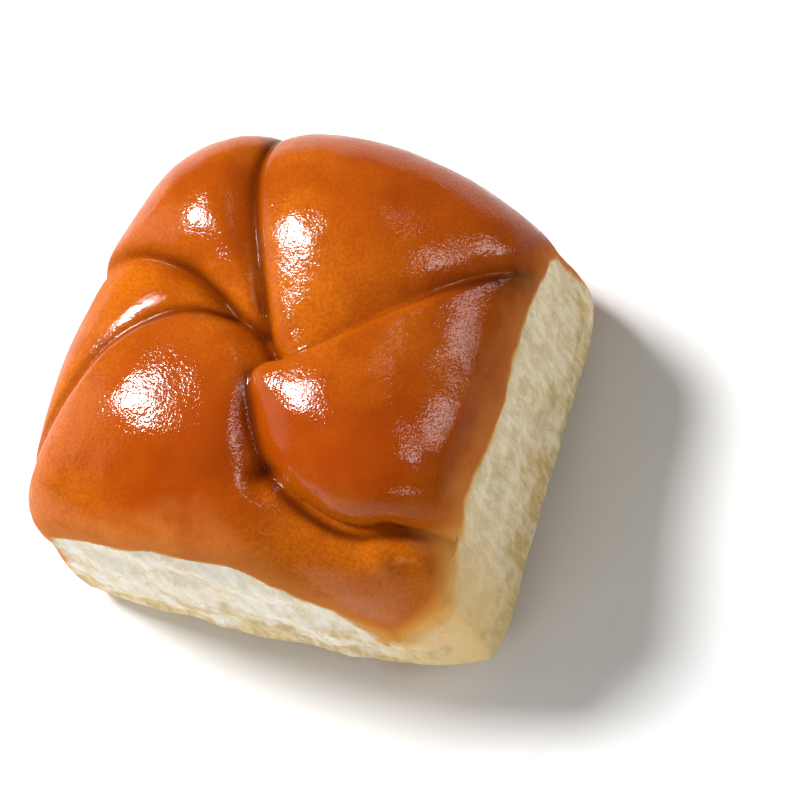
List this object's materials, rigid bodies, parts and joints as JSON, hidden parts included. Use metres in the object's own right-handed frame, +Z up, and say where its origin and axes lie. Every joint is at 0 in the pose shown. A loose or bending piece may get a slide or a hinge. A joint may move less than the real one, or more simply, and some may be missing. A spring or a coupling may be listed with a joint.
{
  "type": "hand-torn bread bun",
  "caption": "Soft glazed bread bun torn by hand from its batch: folded golden crust on top and on two sides, open crumb on the other two.",
  "frame": {"origin": "middle of the bun's bounding box, on its flat base", "axes": "+Z up from the base; +X out of the longer torn side; -Y out of the front torn side; the crust wraps round -X and +Y"},
  "size_m": [0.084, 0.0846, 0.0618],
  "materials": {
    "baked_crust": "glossy browned crust; the torn sides are matt cream crumb"
  },
  "bodies": {
    "root": {"torn_bread": "baked_crust"}
  },
  "joints": []
}
